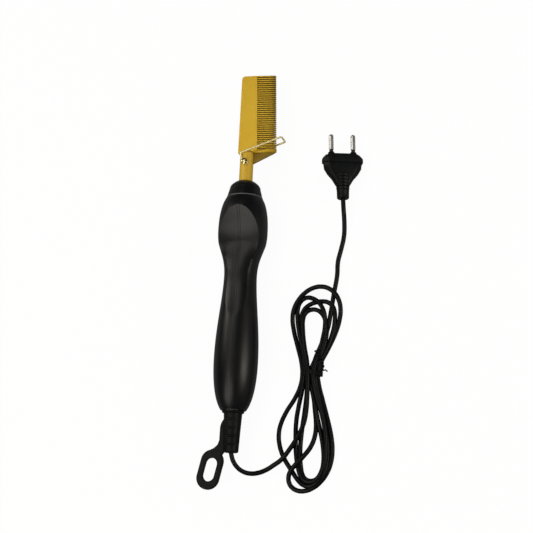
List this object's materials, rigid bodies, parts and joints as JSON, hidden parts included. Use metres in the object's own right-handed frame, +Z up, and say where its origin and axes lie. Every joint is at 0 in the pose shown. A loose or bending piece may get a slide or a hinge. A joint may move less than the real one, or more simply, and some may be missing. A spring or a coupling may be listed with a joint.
{
  "type": "electric hot comb",
  "caption": "Electric pressing comb with a toothed gold head, a swinging wire stand, a black two-part handle, a swivelling strain relief with a hanging loop, and a hanked lead with a flat plug",
  "frame": {"origin": "On the table, under the middle of the tool with its hanging loop and its stand, the free lead left out", "axes": "+Y runs along the tool's axis to the comb's tip, +X to the side that the teeth point to, +Z up from the table"},
  "size_m": [0.129, 0.3622, 0.0374],
  "materials": {
    "comb_head": "satin gold plating",
    "neck_tube": "satin gold plating",
    "stand_screws": "bright plating",
    "stand_wire": "bright plating",
    "heater_core": "matt ceramic",
    "heater_sleeve": "mica paper",
    "heater_bead": "matt ceramic",
    "heater_leads": "bare wire",
    "thermal_fuse": "plain",
    "wire_joints": "crimped sleeve",
    "lead_wires": "silicone insulation",
    "neck_flange": "plain",
    "heat_shield": "mica sheet",
    "insulator_bush": "matt ceramic",
    "nose_cap": "fine satin",
    "trim_ring": "satin",
    "handle_left": "satin",
    "handle_right": "satin",
    "handle_screws": "zinc plated",
    "swivel_bearing": "plain",
    "contact_holder": "plain",
    "contact_springs": "plain",
    "swivel_spindle": "plain",
    "swivel_clip": "plain",
    "slip_rings": "plain",
    "cord_cores": "copper",
    "cord_tail": "smooth",
    "strain_relief": "matt",
    "cord_lead": "smooth",
    "cord_hank": "smooth",
    "hank_tie": "coated wire",
    "plug_lead": "smooth",
    "plug_body": "moulded",
    "plug_insert": "plain",
    "plug_pins": "bright",
    "pin_sleeves": "plain"
  },
  "bodies": {
    "cord_set": {"strain_relief": "strain_relief", "swivel_spindle": "swivel_spindle", "swivel_clip": "swivel_clip", "slip_rings": "slip_rings", "cord_cores": "cord_cores", "cord_tail": "cord_tail", "cord_lead": "cord_lead", "cord_hank": "cord_hank", "hank_tie": "hank_tie", "plug_lead": "plug_lead", "plug_body": "plug_body", "plug_insert": "plug_insert", "plug_pins": "plug_pins", "pin_sleeves": "pin_sleeves"},
    "tool": {"comb_head": "comb_head", "neck_tube": "neck_tube", "stand_screws": "stand_screws", "heater_core": "heater_core", "heater_sleeve": "heater_sleeve", "heater_bead": "heater_bead", "heater_leads": "heater_leads", "thermal_fuse": "thermal_fuse", "wire_joints": "wire_joints", "lead_wires": "lead_wires", "neck_flange": "neck_flange", "heat_shield": "heat_shield", "insulator_bush": "insulator_bush", "nose_cap": "nose_cap", "trim_ring": "trim_ring", "handle_left": "handle_left", "handle_right": "handle_right", "handle_screws": "handle_screws", "swivel_bearing": "swivel_bearing", "contact_holder": "contact_holder", "contact_springs": "contact_springs"},
    "stand": {"stand_wire": "stand_wire"}
  },
  "joints": [
    {"name": "cord_swivel", "type": "hinge", "parent": "cord_set", "child": "tool", "pos_m": [-0.00217, -0.10643, 0.0187], "axis": [0, -1, 0], "continuous": true},
    {"name": "stand_swing", "type": "hinge", "parent": "tool", "child": "stand", "pos_m": [-0.00217, 0.10057, 0.0187], "axis": [0, 0, 1], "range_deg": [-92, 9]}
  ]
}
